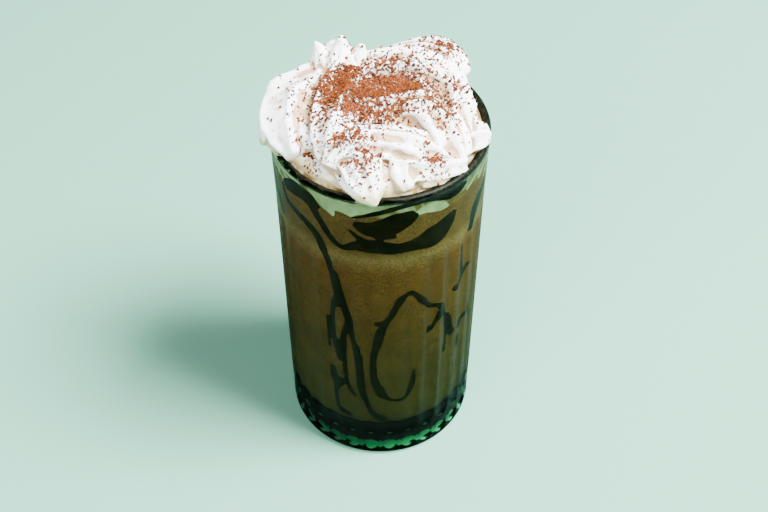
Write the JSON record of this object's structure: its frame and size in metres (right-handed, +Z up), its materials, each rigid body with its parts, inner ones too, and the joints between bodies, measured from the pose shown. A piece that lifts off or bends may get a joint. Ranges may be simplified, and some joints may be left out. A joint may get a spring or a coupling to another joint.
{
  "type": "milkshake",
  "caption": "Chocolate milkshake in a fluted glass tumbler, topped with a piped mound of whipped cream and grated chocolate.",
  "frame": {"origin": "middle of the glass's foot, on the surface it stands on", "axes": "+Z up along the glass's axis, -Y towards the front, where the cream's tip leans over the rim, +X to the right"},
  "size_m": [0.0801, 0.078, 0.178],
  "materials": {
    "glass": "clear pressed glass, fire polished",
    "milkshake": "wet opaque chocolate milk with fine froth",
    "cream": "soft satin whipped cream",
    "syrup": "glossy dark chocolate syrup",
    "chocolate": "dry grated chocolate"
  },
  "bodies": {
    "root": {"glass": "glass", "milkshake": "milkshake", "whipped_cream": "cream"}
  },
  "joints": []
}
